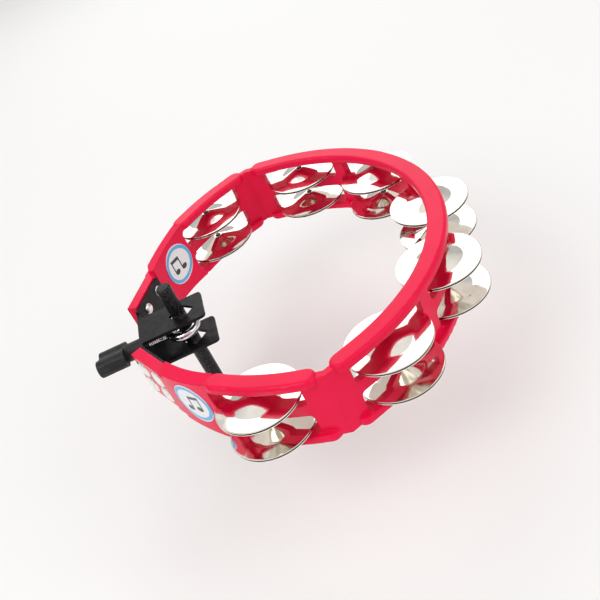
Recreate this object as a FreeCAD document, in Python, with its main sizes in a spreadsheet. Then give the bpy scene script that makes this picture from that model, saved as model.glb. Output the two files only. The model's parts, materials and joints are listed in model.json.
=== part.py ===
"""Rod-mounted tambourine: an open C-shaped ring with 14 pairs of jingles, clamped to a 3/8 inch rod.

Millimetres. +Z runs up the rod and +X from the rod across the ring. The origin is on the rod's axis,
where the chamfer of its lower end meets the full diameter.
Ring pieces are drawn about the ring's own centre and middle plane, and then placed on the rod.
"""
import FreeCAD, Part
import math
import os
import Sketcher
from FreeCAD import Placement, Rotation, Vector

# alias, value in millimetres or degrees, what it is
SIZES = [
    ("rod_diameter", "9.525", "3/8 inch mounting rod"),
    ("rod_length", "127", "rod, end to end"),
    ("rod_chamfer", "0.8", "chamfer on both ends of the rod"),
    ("rod_mark_height", "45", "height of the depth mark above the origin"),
    ("rod_mark_width", "1", "width of the depth mark"),
    ("rod_mark_depth", "0.3", "depth of the depth mark"),
    ("rod_to_web", "27.9", "rod axis to the outside of the bracket's web"),
    ("ring_height", "92.7", "origin to the ring's middle plane"),
    ("ring_radius", "125.5", "centreline radius of the round part"),
    ("wall", "4.5", "thickness of the ring's wall"),
    ("wall_height", "42.5", "height of the plain wall"),
    ("rim_height", "45.5", "height over the rims"),
    ("rim_width", "12", "width of a rim"),
    ("rim_thickness", "5.5", "depth of a rim"),
    ("rim_round", "2.2", "rounding of a rim's outer edges"),
    ("rim_inner_round", "1", "rounding of a rim's inner edges"),
    ("rim_gap", "4.5", "bare wall from a rim's end to the crease"),
    ("bend_end", "67.66", "bearing where the round part ends and runs straight on"),
    ("straight_run", "23.47", "straight wall from the round part to the crease"),
    ("arm_radius", "141.5", "centreline radius of an arm"),
    ("arm_start", "106.09", "bearing of the crease about the arm's centre"),
    ("arm_end", "152.67", "bearing of the nose panel's start about the arm's centre"),
    ("nose_length", "33.8", "length of a nose panel"),
    ("nose_thickness", "7", "thickness of a nose panel"),
    ("nose_height", "29.6", "height of a nose panel"),
    ("shoulder", "8.5", "thickness of the arm between its slots and the nose"),
    ("shoulder_top", "17.5", "height of the shoulder's top at the nose, above the middle plane"),
    ("shoulder_run", "30", "length along X of the shoulder's slope"),
    ("shoulder_round", "1.6", "rounding of the shoulder's and the nose's long edges"),
    ("pin_diameter", "1.9", "jingle pin"),
    ("pin_inset", "0.9", "wall centreline to the pin circle"),
    ("pin_cover", "2.2", "plastic left over the pin's upper end"),
    ("pin_recess", "0.6", "depth of the pin's lower end in its bore"),
    ("station_step", "30", "angle between the stations of the round part"),
    ("arm_pin_bearing", "123.45", "bearing of the arm's pin about the arm's centre"),
    ("slot_end_gap", "3", "a jingle's edge to the end of its slot"),
    ("slot_height", "13.5", "height of a jingle slot"),
    ("slot_corner", "3", "corner radius of a jingle slot"),
    ("row_spacing", "21", "distance between the two rows of slots"),
    ("jingle_radius", "25", "jingle"),
    ("jingle_sheet", "0.8", "sheet thickness of a jingle"),
    ("jingle_dome", "3.9", "depth of a jingle's bell"),
    ("bell_radius", "14.5", "foot of a jingle's bell"),
    ("bell_foot_run", "1.5", "width of the bend between the bell and the brim"),
    ("bell_foot_rise", "0.1", "height of the bend between the bell and the brim"),
    ("hub_radius", "3", "flat round a jingle's hole"),
    ("jingle_hole", "2", "radius of a jingle's hole"),
    ("brim_drop", "0.35", "slope of a jingle's brim"),
    ("jingle_gap", "0.25", "air under a resting pair, and between its brims"),
    ("plate", "2", "bracket sheet"),
    ("web_overhang", "1.69", "inner corner of the nose panels to the outside of the web"),
    ("web_height", "23", "height over the bracket's two plates"),
    ("tongue_length", "44.6", "outside of the web to the free edge of the two plates"),
    ("tongue_width", "28", "width of the two plates"),
    ("tongue_corner", "3", "corner radius of the two plates"),
    ("flange_height", "27", "height of the bracket's side flanges"),
    ("flange_length", "32", "length of a side flange along the nose panel"),
    ("diamond", "17", "diagonal of the square clamping hole"),
    ("rod_clearance", "0.05", "air between the rod and what clamps it"),
    ("rivet_shank", "4", "rivet shank"),
    ("rivet_head", "12", "rivet head, outside"),
    ("rivet_head_rise", "1.5", "height of the rivet head"),
    ("rivet_tail", "7.6", "rivet tail, inside"),
    ("rivet_tail_rise", "1.7", "height of the rivet tail"),
    ("rivet_first", "8.2", "free end of the nose panel to the first rivets"),
    ("rivet_second", "26", "free end of the nose panel to the second rivets"),
    ("rivet_rows", "12.8", "distance between the two rows of rivets"),
    ("eye_bore", "13.3", "inside of the eyebolt's eye"),
    ("eye_wire", "5", "wire of the eyebolt's eye"),
    ("neck_diameter", "5.4", "eyebolt neck"),
    ("thread_diameter", "6.35", "1/4 inch eyebolt thread"),
    ("thread_start", "16.8", "rod axis to the start of the thread"),
    ("thread_end", "49.3", "rod axis to the end of the thread"),
    ("fuse_depth", "1", "how far shapes run into each other before they are fused"),
    ("bolt_clearance", "0.3", "air round the thread in the web and the washer"),
    ("thread_clearance", "0.05", "air between the thread and the insert"),
    ("washer_diameter", "14", "washer"),
    ("washer_thickness", "1.5", "washer"),
    ("knob_gap", "0.1", "air between the washer and the knob"),
    ("collar_diameter", "11.4", "knob collar"),
    ("collar_length", "11.8", "knob collar"),
    ("insert_diameter", "8.6", "threaded insert in the knob"),
    ("insert_length", "9.5", "threaded insert in the knob"),
    ("wing_length", "19", "knob wings, along the bolt"),
    ("wing_spread", "15.2", "distance between the centres of the two lobes"),
    ("lobe_diameter", "11.4", "lobe of the knob"),
    ("waist", "8.6", "thickness of the knob between its lobes"),
    ("knob_tip_wall", "5", "plastic beyond the bolt's bore"),
    ("wing_round", "1.2", "rounding of the wings' ends"),
    ("wing_turn", "17", "how far the knob is turned at rest, in degrees"),
    ("ridge_groove", "0.7", "radius of the grip grooves"),
    ("groove_stop", "2", "plain length of the wings beside the collar"),
    ("badge_radius", "14.2", "round badge"),
    ("badge_thickness", "0.4", "round badge"),
    ("badge_bearing", "142", "bearing of the badges about the arm's centre"),
    ("badge_height", "2.5", "badge centre above the middle plane"),
]

ROW_NAMES = ("upper", "lower")
SIDES = (("far", 1), ("near", -1))
GRIP_GROOVES = 4
GROOVE_STEP = 36.0
GROOVE_OUT = 0.2      # a groove's centre beyond its lobe, as a share of the groove's radius
RING_STATIONS = 5
BELL_BOW = 0.51       # height halfway down the bell, as a share of the bell's height
# shares of a rivet's radius and of its rise, from the sheet up to the middle
HEAD_DOME = ((1, 0), (0.94, 0.4), (0.7, 0.75), (0.4, 0.93), (0, 1))
TAIL_DOME = ((1, 0), (0.88, 0.5), (0.56, 0.88), (0, 1))
UP = Vector(0, 0, 1)
KNOB_START = "Sizes.rod_to_web + Sizes.washer_thickness + Sizes.knob_gap"

doc = FreeCAD.newDocument("tambourine")
sheet = doc.addObject("Spreadsheet::Sheet", "Sizes")


def write_rows(rows, first_row):
    """Write named values into the sheet, one to a row."""
    for row_number, (alias, value, note) in enumerate(rows, start=first_row):
        sheet.set("A%d" % row_number, alias)
        sheet.set("B%d" % row_number, value)
        sheet.set("C%d" % row_number, note)
        sheet.setAlias("B%d" % row_number, alias)
    doc.recompute()


write_rows(SIZES, 1)


def size(alias):
    """The sheet's value, for the outlines that are worked out in code."""
    return float(getattr(sheet, alias))


def bind(thing, **properties):
    """Bind properties to expressions; two underscores in a name stand for a dot."""
    for name, expression in properties.items():
        thing.setExpression(name.replace("__", "."), expression)


# ---------------------------------------------------------------- plan of the ring

def flipped(point):
    return Vector(point.x, -point.y, 0)


def polar(centre, radius, degrees):
    angle = math.radians(degrees)
    return centre + Vector(radius * math.cos(angle), radius * math.sin(angle), 0)


def bearing(centre, point):
    return math.degrees(math.atan2(point.y - centre.y, point.x - centre.x))


BEND_END = size("bend_end")
STRAIGHT = polar(Vector(), size("straight_run"), BEND_END + 90)
CREASE = polar(Vector(), size("ring_radius"), BEND_END) + STRAIGHT
ARM_CENTRE = CREASE - polar(Vector(), size("arm_radius"), size("arm_start"))
NOSE_BEARING = size("arm_end")
NOSE_START = polar(ARM_CENTRE, size("arm_radius"), NOSE_BEARING)
NOSE_OUT = polar(Vector(), 1, NOSE_BEARING)
NOSE_RUN = Vector(-NOSE_OUT.y, NOSE_OUT.x, 0)
NOSE_END = NOSE_START + NOSE_RUN * size("nose_length")


def nose_point(along, offset):
    """A point of the far nose panel: inwards from its free end, and outwards from its middle."""
    return NOSE_END - NOSE_RUN * along + NOSE_OUT * offset


def derived_sizes():
    """Places that follow from the plan, measured from the ring's centre towards the rod."""
    inner_corner = nose_point(0, -size("nose_thickness") / 2)
    web_face = size("web_overhang") - inner_corner.x
    return [
        ("nose_forward", "%.6f" % NOSE_START.x, "start of the nose panel, along X"),
        ("web_face", "%.6f" % web_face, "ring centre to the outside of the web"),
        ("ring_offset", "%.6f" % (web_face - size("rod_to_web")), "rod axis to the ring's centre"),
        ("slot_length", "%.6f" % (2 * (size("jingle_radius") + size("slot_end_gap"))), "jingle slot"),
    ]


write_rows(derived_sizes(), len(SIZES) + 1)


def crease_corner(offset):
    """Where the straight run and the arm's arc, both moved outwards by offset, meet."""
    run = polar(Vector(), 1, BEND_END + 90)
    start = polar(Vector(), size("ring_radius") + offset, BEND_END)
    radius = size("arm_radius") + offset
    gap = start - ARM_CENTRE
    half = gap.dot(run)
    root = math.sqrt(half ** 2 - gap.dot(gap) + radius ** 2)
    return start + run * (root - half)


def arc(centre, radius, first, last):
    """An arc as its start, a point on it and its end."""
    middle = (first + last) / 2
    return (polar(centre, radius, first), polar(centre, radius, middle), polar(centre, radius, last))


def flipped_back(edges):
    """The same edges on the other side of the ring, run through in the opposite direction."""
    return [tuple(flipped(point) for point in reversed(edge)) for edge in reversed(edges)]


def wall_outline(offset):
    """Half of one side of the wall: from the nose panel over the crease to the bend's end."""
    corner = crease_corner(offset)
    radius = size("arm_radius") + offset
    bend_end = polar(Vector(), size("ring_radius") + offset, BEND_END)
    arm = arc(ARM_CENTRE, radius, NOSE_BEARING, bearing(ARM_CENTRE, corner))
    return [(arm[0], arm[1], corner), (corner, bend_end)]


def ring_outline(half):
    """Closed outline of the wall, from one nose panel round to the other."""
    outer = wall_outline(half)
    inner = wall_outline(-half)
    outer_bend = arc(Vector(), size("ring_radius") + half, BEND_END, -BEND_END)
    inner_bend = arc(Vector(), size("ring_radius") - half, -BEND_END, BEND_END)
    far_end = [(inner[0][0], outer[0][0])]
    inner_back = [tuple(reversed(edge)) for edge in reversed(inner)]
    outer_near = flipped_back(outer)
    inner_near = [tuple(reversed(edge)) for edge in reversed(flipped_back(inner))]
    near_end = [tuple(flipped(point) for point in reversed(far_end[0]))]
    return far_end + outer + [outer_bend] + outer_near + near_end + inner_near + [inner_bend] + inner_back


def rim_outline(half, run):
    """Closed outline of the round part's rim, with round ends on the straight runs."""
    outside = size("ring_radius") + half
    inside = size("ring_radius") - half
    along = polar(Vector(), 1, BEND_END + 90)
    cap = polar(Vector(), size("ring_radius"), BEND_END) + along * run
    bend = arc(Vector(), outside, -BEND_END, BEND_END)
    outer_end = bend[2] + along * run
    inner_bend = arc(Vector(), inside, BEND_END, -BEND_END)
    inner_end = inner_bend[0] + along * run
    far = [(bend[2], outer_end), (outer_end, cap + along * half, inner_end), (inner_end, inner_bend[0])]
    return [bend] + far + [inner_bend] + flipped_back(far)


def arm_outline(half, first, last, capped):
    """Closed outline of a strip along the far arm between two bearings."""
    outer = arc(ARM_CENTRE, size("arm_radius") + half, first, last)
    inner = arc(ARM_CENTRE, size("arm_radius") - half, last, first)
    if not capped:
        return [outer, (outer[2], inner[0]), inner, (inner[2], outer[0])]
    tip = polar(ARM_CENTRE, size("arm_radius"), last) + polar(Vector(), half, last + 90)
    heel = polar(ARM_CENTRE, size("arm_radius"), first) + polar(Vector(), half, first - 90)
    return [outer, (outer[2], tip, inner[0]), inner, (inner[2], heel, outer[0])]


def nose_outline():
    """Closed outline of the far nose panel, which starts inside the arm's shoulder."""
    half = size("nose_thickness") / 2
    start = size("nose_length") + half
    corners = [nose_point(0, half), nose_point(start, half), nose_point(start, -half), nose_point(0, -half)]
    return [(corners[index - 1], corners[index]) for index in range(len(corners))]


# ---------------------------------------------------------------- sketches and features

def origin_plane(body, role):
    return [item for item in body.Origin.OriginFeatures if item.Role == role][0]


def new_body(label):
    body = doc.addObject("PartDesign::Body", label)
    body.Label = label
    return body


def new_sketch(body, name, role="XY_Plane"):
    """An empty sketch on one of the body's own origin planes."""
    sketch = body.newObject("Sketcher::SketchObject", name)
    sketch.AttachmentSupport = [(origin_plane(body, role), "")]
    sketch.MapMode = "FlatFace"
    return sketch


def draw(sketch, edges):
    """Draw a closed chain of two-point lines and three-point arcs, and join their ends."""
    ends = []
    for edge in edges:
        if len(edge) == 2:
            geometry = sketch.addGeometry(Part.LineSegment(edge[0], edge[1]), False)
            ends.append((geometry, 1, 2))
            continue
        start, middle, end = edge
        turn = (middle - start).cross(end - middle).z
        ordered = (start, middle, end) if turn > 0 else (end, middle, start)
        geometry = sketch.addGeometry(Part.ArcOfCircle(*ordered), False)
        ends.append((geometry, 1, 2) if turn > 0 else (geometry, 2, 1))
    for index, (geometry, start_end, _) in enumerate(ends):
        before, _, last_end = ends[index - 1]
        sketch.addConstraint(Sketcher.Constraint("Coincident", before, last_end, geometry, start_end))


def place_point(sketch, geometry, end, across, up):
    """Tie a point of the sketch to the sketch's origin with two bound distances."""
    for kind, expression in (("DistanceX", across), ("DistanceY", up)):
        index = sketch.addConstraint(Sketcher.Constraint(kind, -1, 1, geometry, end, 1.0))
        sketch.setExpression("Constraints[%d]" % index, expression)


def draw_polygon(sketch, points):
    """A closed polygon whose corners are pairs of expressions."""
    count = len(points)
    rough = [polar(Vector(), 10, 360 * index / count) for index in range(count)]
    for index in range(count):
        following = (index + 1) % count
        geometry = sketch.addGeometry(Part.LineSegment(rough[index], rough[following]), False)
        place_point(sketch, geometry, 1, *points[index])
    first = sketch.GeometryCount - count
    for index in range(count):
        following = first + (index + 1) % count
        sketch.addConstraint(Sketcher.Constraint("Coincident", first + index, 2, following, 1))


def draw_circle(sketch, across, up, radius):
    """A circle whose centre and radius are expressions."""
    geometry = sketch.addGeometry(Part.Circle(Vector(1, 1, 0), UP, 1.5), False)
    place_point(sketch, geometry, 3, across, up)
    index = sketch.addConstraint(Sketcher.Constraint("Radius", geometry, 1.5))
    sketch.setExpression("Constraints[%d]" % index, radius)


def pad(body, sketch, name, length, symmetric=False, reverse=False):
    feature = body.newObject("PartDesign::Pad", name)
    feature.Profile = sketch
    feature.SideType = "Symmetric" if symmetric else "One side"
    feature.Reversed = reverse
    bind(feature, Length=length)
    return feature


def pocket(body, sketch, name, length, symmetric=False, reverse=False):
    feature = body.newObject("PartDesign::Pocket", name)
    feature.Profile = sketch
    feature.SideType = "Symmetric" if symmetric else "One side"
    feature.Reversed = reverse
    bind(feature, Length=length)
    return feature


def mirror(body, originals, name, role):
    feature = body.newObject("PartDesign::Mirrored", name)
    feature.Originals = originals
    feature.MirrorPlane = (origin_plane(body, role), [""])
    body.Tip = feature
    return feature


def revolve(body, sketch, name, axis="V_Axis"):
    feature = body.newObject("PartDesign::Revolution", name)
    feature.Profile = sketch
    feature.ReferenceAxis = (sketch, [axis])
    feature.Angle = 360
    return feature


def round_edges(body, feature, name, radius, chosen):
    """Fillet the edges of feature for which chosen(edge) is true."""
    doc.recompute()
    names = ["Edge%d" % (index + 1) for index, edge in enumerate(feature.Shape.Edges) if chosen(edge)]
    fillet = body.newObject("PartDesign::Fillet", name)
    fillet.Base = (feature, names)
    bind(fillet, Radius=radius)
    return fillet


def at_height(height):
    """True for edges that lie level at this distance from the middle plane, above or below it."""
    def level(edge):
        box = edge.BoundBox
        middle = (box.ZMin + box.ZMax) / 2
        return box.ZLength < 0.01 and abs(abs(middle) - height) < 0.01
    return level


def on_ring(thing):
    """Place a piece that is drawn about the ring's centre."""
    bind(thing, Placement__Base__x="Sizes.ring_offset", Placement__Base__z="Sizes.ring_height")


# ---------------------------------------------------------------- stations of the jingles

def stations():
    """Pin position and outward bearing of the seven stations, from the near arm to the far arm."""
    step = size("station_step")
    circle = size("ring_radius") - size("pin_inset")
    arm_bearing = size("arm_pin_bearing")
    arm_pin = polar(ARM_CENTRE, size("arm_radius") - size("pin_inset"), arm_bearing)
    places = [(flipped(arm_pin), -arm_bearing)]
    half = RING_STATIONS // 2
    places += [(polar(Vector(), circle, index * step), index * step) for index in range(-half, half + 1)]
    places.append((arm_pin, arm_bearing))
    return places


def arc_degrees(length, radius):
    return math.degrees(length / radius)


# ---------------------------------------------------------------- the ring

def make_ring_wall():
    """Plain wall, thicker shoulders beside the nose, and the two nose panels."""
    body = new_body("ring_wall")
    plan = new_sketch(body, "wall_plan")
    draw(plan, ring_outline(size("wall") / 2))
    pad(body, plan, "wall_pad", "Sizes.wall_height", symmetric=True)
    radius = size("arm_radius")
    first = size("arm_pin_bearing") + arc_degrees(size("slot_length") / 2 - size("wall") / 2, radius)
    shoulder = new_sketch(body, "shoulder_plan")
    draw(shoulder, arm_outline(size("shoulder") / 2, first, NOSE_BEARING, False))
    shoulder_pad = pad(body, shoulder, "shoulder_pad", "Sizes.rim_height", symmetric=True)
    nose = new_sketch(body, "nose_plan")
    draw(nose, nose_outline())
    nose_pad = pad(body, nose, "nose_pad", "Sizes.nose_height", symmetric=True)
    mirror(body, [shoulder_pad, nose_pad], "both_arms", "XZ_Plane")
    return body


def cut_shoulder_slope(body):
    """Slope the shoulders down to the nose panels, above and below."""
    profile = new_sketch(body, "slope_profile", "XZ_Plane")
    foot = "Sizes.nose_forward"
    draw_polygon(profile, [
        (foot, "Sizes.shoulder_top"),
        (foot + " + Sizes.shoulder_run", "Sizes.rim_height / 2"),
        (foot + " + Sizes.shoulder_run", "Sizes.rim_height"),
        (foot + " - Sizes.nose_length", "Sizes.rim_height"),
        (foot + " - Sizes.nose_length", "Sizes.nose_height / 2"),
        (foot, "Sizes.nose_height / 2"),
    ])
    slope = pocket(body, profile, "slope", "2 * Sizes.arm_radius", symmetric=True)
    return mirror(body, [slope], "slope_both", "XY_Plane")


def make_rim(label, edges, level, side):
    """One rounded rim: a slab between the slots and the ring's upper or lower face."""
    body = new_body(label)
    plan = new_sketch(body, label + "_plan")
    draw(plan, [tuple(flipped(point) for point in edge) for edge in edges] if side < 0 else edges)
    base = "(Sizes.rim_height / 2 - Sizes.rim_thickness)"
    plan.setExpression("AttachmentOffset.Base.z", base if level > 0 else "-" + base)
    slab = pad(body, plan, label + "_pad", "Sizes.rim_thickness", reverse=level < 0)
    outer = round_edges(body, slab, label + "_outer", "Sizes.rim_round", at_height(size("rim_height") / 2))
    inner = size("rim_height") / 2 - size("rim_thickness")
    round_edges(body, outer, label + "_inner", "Sizes.rim_inner_round", at_height(inner))
    return body


def make_rims():
    """Rims of the round part and of both arms, above and below."""
    half = size("rim_width") / 2
    run = size("straight_run") - half - size("rim_gap")
    radius = size("arm_radius")
    crease_bearing = bearing(ARM_CENTRE, CREASE)
    first = crease_bearing + arc_degrees(half + size("rim_gap"), radius)
    last = size("arm_pin_bearing") + arc_degrees(size("slot_length") / 2 - half, radius)
    arm = arm_outline(half, first, last, True)
    rims = []
    for level_name, level in (("top", 1), ("bottom", -1)):
        rims.append(make_rim("ring_rim_" + level_name, rim_outline(half, run), level, 1))
        for side_name, side in SIDES:
            rims.append(make_rim("arm_rim_%s_%s" % (side_name, level_name), arm, level, side))
    return rims


def rounded_rectangle(sketch, centre_up, length, height, corner):
    """A level rectangle with round corners, centred on the sketch's upright axis."""
    right = length / 2
    left = -right
    top = centre_up + height / 2
    bottom = centre_up - height / 2
    bulge = corner * (1 - math.sqrt(0.5))
    edges = [
        (Vector(left + corner, bottom, 0), Vector(right - corner, bottom, 0)),
        (Vector(right - corner, bottom, 0), Vector(right - bulge, bottom + bulge, 0),
         Vector(right, bottom + corner, 0)),
        (Vector(right, bottom + corner, 0), Vector(right, top - corner, 0)),
        (Vector(right, top - corner, 0), Vector(right - bulge, top - bulge, 0),
         Vector(right - corner, top, 0)),
        (Vector(right - corner, top, 0), Vector(left + corner, top, 0)),
        (Vector(left + corner, top, 0), Vector(left + bulge, top - bulge, 0),
         Vector(left, top - corner, 0)),
        (Vector(left, top - corner, 0), Vector(left, bottom + corner, 0)),
        (Vector(left, bottom + corner, 0), Vector(left + bulge, bottom + bulge, 0),
         Vector(left + corner, bottom, 0)),
    ]
    draw(sketch, edges)


def cut_slots(body, name, place, degrees):
    """Upper and lower jingle slot of one station, cut straight through the wall."""
    sketch = new_sketch(body, name + "_outline", "YZ_Plane")
    turn = Rotation(Vector(0, 1, 0), degrees)
    sketch.AttachmentOffset = Placement(Vector(place.y, 0, place.x), turn)
    for centre in (size("row_spacing") / 2, -size("row_spacing") / 2):
        rounded_rectangle(sketch, centre, size("slot_length"), size("slot_height"), size("slot_corner"))
    return pocket(body, sketch, name, "3 * Sizes.rim_width", symmetric=True)


def make_frame():
    """The whole moulding: wall, rims and nose, with its slots, pin bores and rivet holes."""
    wall = make_ring_wall()
    cut_shoulder_slope(wall)
    rims = make_rims()
    blank = doc.addObject("Part::MultiFuse", "ring_blank")
    blank.Shapes = [wall] + rims
    doc.recompute()
    body = new_body("frame")
    body.BaseFeature = blank
    doc.recompute()
    places = stations()
    pin, degrees = places[1]
    first_slots = cut_slots(body, "ring_slots", pin, degrees)
    pattern = body.newObject("PartDesign::PolarPattern", "ring_slot_pattern")
    pattern.Originals = [first_slots]
    pattern.Axis = (next(axis for axis in body.Origin.OriginFeatures if axis.Role == "Z_Axis"), [""])
    pattern.Occurrences = RING_STATIONS
    bind(pattern, Angle="%d * Sizes.station_step" % (RING_STATIONS - 1))
    body.Tip = pattern
    pin, degrees = places[-1]
    arm_slots = cut_slots(body, "arm_slots", pin, degrees)
    mirror(body, [arm_slots], "arm_slots_both", "XZ_Plane")
    bores = new_sketch(body, "pin_bores")
    for place, _ in places:
        bores.addGeometry(Part.Circle(place, UP, size("pin_diameter") / 2), False)
    bores.setExpression("AttachmentOffset.Base.z", "-Sizes.rim_height / 2")
    pocket(body, bores, "pin_bore", "Sizes.rim_height - Sizes.pin_cover", reverse=True)
    for side_name, side in SIDES:
        cut_rivet_holes(body, side_name, side)
    on_ring(body)
    return body


def rivet_place(side, along):
    """Rotation angle and position of a rivet axis, which points out of the nose panel."""
    point = nose_point(along, 0)
    return (NOSE_BEARING * side, Vector(point.x, point.y * side, 0))


def cut_rivet_holes(body, side_name, side):
    """Four holes through one nose panel or one bracket flange."""
    sketch = new_sketch(body, "rivet_holes_" + side_name, "YZ_Plane")
    degrees, origin = rivet_place(side, 0)
    sketch.AttachmentOffset = Placement(Vector(origin.y, 0, origin.x), Rotation(Vector(0, 1, 0), degrees))
    for along in ("Sizes.rivet_first", "Sizes.rivet_second"):
        for level in ("Sizes.rivet_rows / 2", "-Sizes.rivet_rows / 2"):
            across = along if side < 0 else "-" + along
            draw_circle(sketch, across, level, "Sizes.rivet_shank / 2")
    return pocket(body, sketch, "rivet_hole_" + side_name, "4 * Sizes.nose_thickness", symmetric=True)


# ---------------------------------------------------------------- jingles and pins

def make_pin(number, place):
    """Steel pin, pressed into its bore from below."""
    pin = doc.addObject("Part::Cylinder", "jingle_pin_%d" % number)
    pin.Label = pin.Name
    bind(pin, Radius="Sizes.pin_diameter / 2",
         Height="Sizes.rim_height - Sizes.pin_cover - Sizes.pin_recess",
         Placement__Base__z="Sizes.ring_height - Sizes.rim_height / 2 + Sizes.pin_recess",
         Placement__Base__x="Sizes.ring_offset + %.6f" % place.x)
    pin.Placement.Base.y = place.y
    return pin


def jingle_section():
    """Corners of a bell-up jingle's section, from the hole out and back; the brim starts at zero."""
    under = [
        ("Sizes.jingle_hole", "Sizes.jingle_dome"),
        ("Sizes.hub_radius", "Sizes.jingle_dome"),
        ("(Sizes.hub_radius + Sizes.bell_radius) / 2",
         "(Sizes.jingle_dome + Sizes.brim_drop) * %g" % BELL_BOW),
        ("Sizes.bell_radius", "Sizes.brim_drop + Sizes.bell_foot_rise"),
        ("Sizes.bell_radius + Sizes.bell_foot_run", "Sizes.brim_drop"),
        ("Sizes.jingle_radius", "0"),
    ]
    over = [(across, "%s + Sizes.jingle_sheet" % up) for across, up in reversed(under)]
    return under + over


def make_jingle(label, place, row, upper):
    """One pressed jingle: the upper one of a pair has its bell up, the lower one its bell down."""
    body = new_body(label)
    sketch = new_sketch(body, label + "_section", "XZ_Plane")
    draw_polygon(sketch, jingle_section())
    revolve(body, sketch, label + "_spin")
    height = "Sizes.jingle_dome + Sizes.jingle_sheet"
    floor = "Sizes.ring_height + %s * Sizes.row_spacing / 2 - Sizes.slot_height / 2" % row
    lift = "%s + Sizes.jingle_gap + %s" % (floor, height)
    if not upper:
        body.Placement = Placement(Vector(), Rotation(Vector(1, 0, 0), 180))
    bind(body, Placement__Base__x="Sizes.ring_offset + %.6f" % place.x,
         Placement__Base__z=lift + (" + Sizes.jingle_gap" if upper else ""))
    body.Placement.Base.y = place.y
    return body


# ---------------------------------------------------------------- bracket, rivets and badges

def flange_corner(depth, face):
    """Where the nose panel's inner side, moved in by depth, meets the plane at minus face."""
    offset = -size("nose_thickness") / 2 - depth
    start = nose_point(0, offset)
    along = (start.x + face) / NOSE_RUN.x
    return start - NOSE_RUN * along


def make_bracket():
    """Bent sheet: a web across the ring's gap, two flanges on the nose and two clamping plates."""
    body = new_body("bracket")
    plate = size("plate")
    outer = flange_corner(0, size("web_face"))
    inner = flange_corner(plate, size("web_face") - plate)
    panel = -size("nose_thickness") / 2
    outer_tip = nose_point(size("flange_length"), panel)
    inner_tip = nose_point(size("flange_length"), panel - plate)
    web = new_sketch(body, "web_plan")
    corners = [outer, inner, flipped(inner), flipped(outer)]
    draw(web, [(corners[index - 1], corners[index]) for index in range(4)])
    pad(body, web, "web_pad", "Sizes.web_height", symmetric=True)
    flange = new_sketch(body, "flange_plan")
    corners = [outer, outer_tip, inner_tip, inner]
    draw(flange, [(corners[index - 1], corners[index]) for index in range(4)])
    flange_pad = pad(body, flange, "flange_pad", "Sizes.flange_height", symmetric=True)
    mirror(body, [flange_pad], "flange_both", "XZ_Plane")
    tongue = new_sketch(body, "tongue_plan")
    draw(tongue, tongue_outline())
    corner = "-Sizes.ring_offset - sqrt(2) * (Sizes.rod_diameter / 2 + Sizes.rod_clearance)"
    middle = corner + " + Sizes.diamond / 2"
    draw_polygon(tongue, [
        (corner, "0"),
        (middle, "Sizes.diamond / 2"),
        (corner + " + Sizes.diamond", "0"),
        (middle, "-Sizes.diamond / 2"),
    ])
    tongue.setExpression("AttachmentOffset.Base.z", "Sizes.web_height / 2 - Sizes.plate")
    tongue_pad = pad(body, tongue, "tongue_pad", "Sizes.plate")
    mirror(body, [tongue_pad], "tongue_both", "XY_Plane")
    hole = new_sketch(body, "bolt_hole", "YZ_Plane")
    draw_circle(hole, "0", "0", "Sizes.thread_diameter / 2 + Sizes.bolt_clearance")
    hole.setExpression("AttachmentOffset.Base.z", "-Sizes.web_face")
    pocket(body, hole, "bolt_pocket", "2 * Sizes.plate", reverse=True)
    for side_name, side in SIDES:
        cut_rivet_holes(body, side_name, side)
    on_ring(body)
    return body


def tongue_outline():
    """Outline of a clamping plate: square at the web, with round free corners."""
    back = -size("web_face")
    front = back + size("tongue_length")
    half = size("tongue_width") / 2
    corner = size("tongue_corner")
    bulge = corner * (1 - math.sqrt(0.5))
    far = [
        (Vector(front, 0, 0), Vector(front, half - corner, 0)),
        (Vector(front, half - corner, 0), Vector(front - bulge, half - bulge, 0),
         Vector(front - corner, half, 0)),
        (Vector(front - corner, half, 0), Vector(back, half, 0)),
        (Vector(back, half, 0), Vector(back, 0, 0)),
    ]
    return far + flipped_back(far)


def make_rivet(label, side, along, level):
    """Solid rivet: low round head outside the nose panel, small tail on the bracket's flange."""
    body = new_body(label)
    section = new_sketch(body, label + "_section", "XZ_Plane")
    face = "Sizes.nose_thickness / 2"
    back = "-Sizes.nose_thickness / 2 - Sizes.plate"
    tail = [("Sizes.rivet_tail / 2 * %g" % across, back + " - Sizes.rivet_tail_rise * %g" % rise)
            for across, rise in reversed(TAIL_DOME)]
    head = [("Sizes.rivet_head / 2 * %g" % across, face + " + Sizes.rivet_head_rise * %g" % rise)
            for across, rise in HEAD_DOME]
    shank = [("Sizes.rivet_shank / 2", back), ("Sizes.rivet_shank / 2", face)]
    draw_polygon(section, tail + shank + head)
    revolve(body, section, label + "_spin")
    degrees, place = rivet_place(side, along)
    body.Placement = Placement(Vector(0, place.y, 0), Rotation(degrees, 90, 0))
    bind(body, Placement__Base__x="Sizes.ring_offset + %.6f" % place.x,
         Placement__Base__z="Sizes.ring_height + %s * Sizes.rivet_rows / 2" % level)
    return body


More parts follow.
